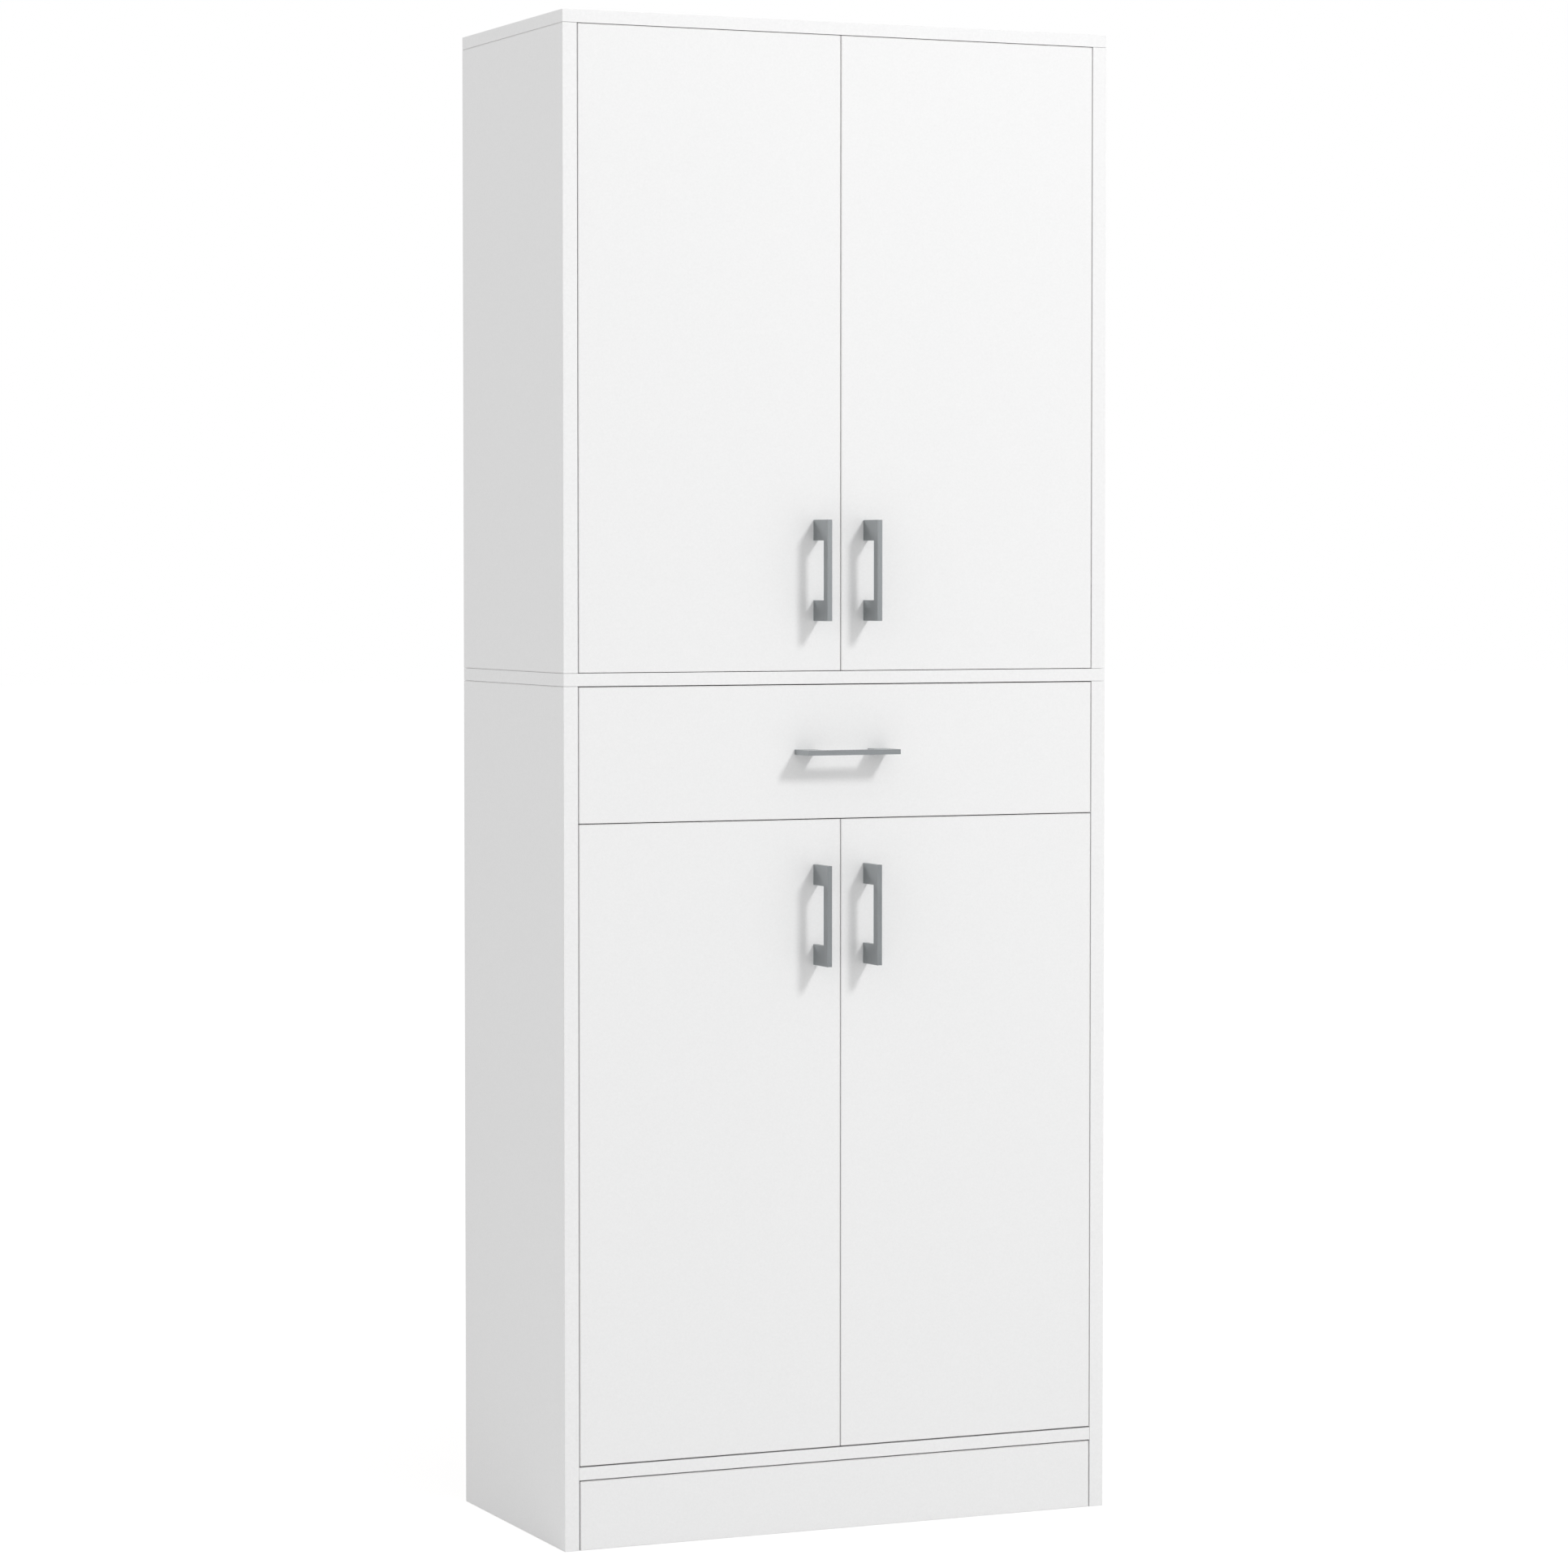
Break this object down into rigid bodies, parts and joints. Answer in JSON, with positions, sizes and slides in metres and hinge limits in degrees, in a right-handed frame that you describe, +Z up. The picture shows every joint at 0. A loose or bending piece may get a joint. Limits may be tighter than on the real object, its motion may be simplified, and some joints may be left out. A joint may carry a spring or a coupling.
{
  "type": "pantry cabinet",
  "caption": "Tall white pantry cabinet: upper and lower cupboards with inset doors, a drawer between them, shelves inside and grey bow handles.",
  "frame": {"origin": "on the floor, under the middle of the whole object, handles included", "axes": "+Z up, +X to the viewer's right when facing the front, +Y towards the back; the doors face -Y"},
  "size_m": [0.708, 0.381, 1.8],
  "materials": {
    "white_melamine": "satin white melamine on particleboard",
    "hardboard": "matt brown hardboard",
    "satin_nickel": "satin grey",
    "hinge_steel": "bright nickel-plated",
    "runner_paint": "white epoxy powder coat",
    "roller_nylon": "matt off-white nylon"
  },
  "bodies": {
    "cabinet": {"top_board": "white_melamine", "middle_board": "white_melamine", "bottom_board": "white_melamine", "drawer_divider": "white_melamine", "plinth_board": "white_melamine", "lower_side_left": "white_melamine", "lower_side_right": "white_melamine", "upper_side_left": "white_melamine", "upper_side_right": "white_melamine", "upper_shelf_low": "white_melamine", "upper_shelf_high": "white_melamine", "lower_shelf": "white_melamine", "lower_back_panel": "hardboard", "upper_back_panel": "hardboard", "hinge_arm_upper_left_low": "hinge_steel", "hinge_arm_upper_left_high": "hinge_steel", "hinge_arm_upper_right_low": "hinge_steel", "hinge_arm_upper_right_high": "hinge_steel", "hinge_arm_lower_left_low": "hinge_steel", "hinge_arm_lower_left_high": "hinge_steel", "hinge_arm_lower_right_low": "hinge_steel", "hinge_arm_lower_right_high": "hinge_steel", "cabinet_runner_left": "runner_paint", "cabinet_runner_right": "runner_paint"},
    "upper_door_left": {"upper_door_left": "white_melamine", "upper_handle_left": "satin_nickel", "hinge_cup_upper_left_low": "hinge_steel", "hinge_cup_upper_left_high": "hinge_steel"},
    "upper_hinge_links_left": {"hinge_link_upper_left_low": "hinge_steel", "hinge_link_upper_left_high": "hinge_steel"},
    "upper_door_right": {"upper_door_right": "white_melamine", "upper_handle_right": "satin_nickel", "hinge_cup_upper_right_low": "hinge_steel", "hinge_cup_upper_right_high": "hinge_steel"},
    "upper_hinge_links_right": {"hinge_link_upper_right_low": "hinge_steel", "hinge_link_upper_right_high": "hinge_steel"},
    "lower_door_left": {"lower_door_left": "white_melamine", "lower_handle_left": "satin_nickel", "hinge_cup_lower_left_low": "hinge_steel", "hinge_cup_lower_left_high": "hinge_steel"},
    "lower_hinge_links_left": {"hinge_link_lower_left_low": "hinge_steel", "hinge_link_lower_left_high": "hinge_steel"},
    "lower_door_right": {"lower_door_right": "white_melamine", "lower_handle_right": "satin_nickel", "hinge_cup_lower_right_low": "hinge_steel", "hinge_cup_lower_right_high": "hinge_steel"},
    "lower_hinge_links_right": {"hinge_link_lower_right_low": "hinge_steel", "hinge_link_lower_right_high": "hinge_steel"},
    "drawer": {"drawer_front": "white_melamine", "drawer_side_left": "white_melamine", "drawer_side_right": "white_melamine", "drawer_back": "white_melamine", "drawer_bottom": "hardboard", "drawer_handle": "satin_nickel", "drawer_runner_left": "runner_paint", "drawer_runner_right": "runner_paint"},
    "cabinet_roller_left": {"cabinet_roller_left": "roller_nylon"},
    "drawer_roller_left": {"drawer_roller_left": "roller_nylon"},
    "cabinet_roller_right": {"cabinet_roller_right": "roller_nylon"},
    "drawer_roller_right": {"drawer_roller_right": "roller_nylon"}
  },
  "joints": [
    {"name": "upper_door_left_hinge", "type": "hinge", "parent": "cabinet", "child": "upper_door_left", "pos_m": [-0.328, -0.1495, 1.4075], "axis": [0, 0, -1], "range_deg": [0, 100]},
    {"name": "upper_hinge_links_left_turn", "type": "hinge", "parent": "cabinet", "child": "upper_hinge_links_left", "pos_m": [-0.328, -0.1495, 1.4075], "axis": [0, 0, -1], "range_deg": [0, 80]},
    {"name": "upper_door_right_hinge", "type": "hinge", "parent": "cabinet", "child": "upper_door_right", "pos_m": [0.328, -0.1495, 1.4075], "axis": [0, 0, 1], "range_deg": [0, 100]},
    {"name": "upper_hinge_links_right_turn", "type": "hinge", "parent": "cabinet", "child": "upper_hinge_links_right", "pos_m": [0.328, -0.1495, 1.4075], "axis": [0, 0, 1], "range_deg": [0, 80]},
    {"name": "lower_door_left_hinge", "type": "hinge", "parent": "cabinet", "child": "lower_door_left", "pos_m": [-0.328, -0.1495, 0.4766], "axis": [0, 0, -1], "range_deg": [0, 100]},
    {"name": "lower_hinge_links_left_turn", "type": "hinge", "parent": "cabinet", "child": "lower_hinge_links_left", "pos_m": [-0.328, -0.1495, 0.4766], "axis": [0, 0, -1], "range_deg": [0, 80]},
    {"name": "lower_door_right_hinge", "type": "hinge", "parent": "cabinet", "child": "lower_door_right", "pos_m": [0.328, -0.1495, 0.4766], "axis": [0, 0, 1], "range_deg": [0, 100]},
    {"name": "lower_hinge_links_right_turn", "type": "hinge", "parent": "cabinet", "child": "lower_hinge_links_right", "pos_m": [0.328, -0.1495, 0.4766], "axis": [0, 0, 1], "range_deg": [0, 80]},
    {"name": "drawer_slide", "type": "slide", "parent": "cabinet", "child": "drawer", "axis": [0, -1, 0], "range_m": [0, 0.23]},
    {"name": "cabinet_roller_left_turn", "type": "hinge", "parent": "cabinet", "child": "cabinet_roller_left", "pos_m": [-0.33125, -0.1205, 0.877], "axis": [1, 0, 0], "range_deg": [0, 1900]},
    {"name": "drawer_roller_left_turn", "type": "hinge", "parent": "drawer", "child": "drawer_roller_left", "pos_m": [-0.3302, 0.1558, 0.877], "axis": [1, 0, 0], "range_deg": [0, 1900]},
    {"name": "cabinet_roller_right_turn", "type": "hinge", "parent": "cabinet", "child": "cabinet_roller_right", "pos_m": [0.33125, -0.1205, 0.877], "axis": [1, 0, 0], "range_deg": [0, 1900]},
    {"name": "drawer_roller_right_turn", "type": "hinge", "parent": "drawer", "child": "drawer_roller_right", "pos_m": [0.3302, 0.1558, 0.877], "axis": [1, 0, 0], "range_deg": [0, 1900]}
  ],
  "couplings": [
    {"joint": "upper_hinge_links_left_turn", "follows": "upper_door_left_hinge", "ratio": 0.8},
    {"joint": "upper_hinge_links_right_turn", "follows": "upper_door_right_hinge", "ratio": 0.8},
    {"joint": "lower_hinge_links_left_turn", "follows": "lower_door_left_hinge", "ratio": 0.8},
    {"joint": "lower_hinge_links_right_turn", "follows": "lower_door_right_hinge", "ratio": 0.8},
    {"joint": "cabinet_roller_left_turn", "follows": "drawer_slide", "rad_per_m": 143.88},
    {"joint": "drawer_roller_left_turn", "follows": "drawer_slide", "rad_per_m": 143.88},
    {"joint": "cabinet_roller_right_turn", "follows": "drawer_slide", "rad_per_m": 143.88},
    {"joint": "drawer_roller_right_turn", "follows": "drawer_slide", "rad_per_m": 143.88}
  ]
}
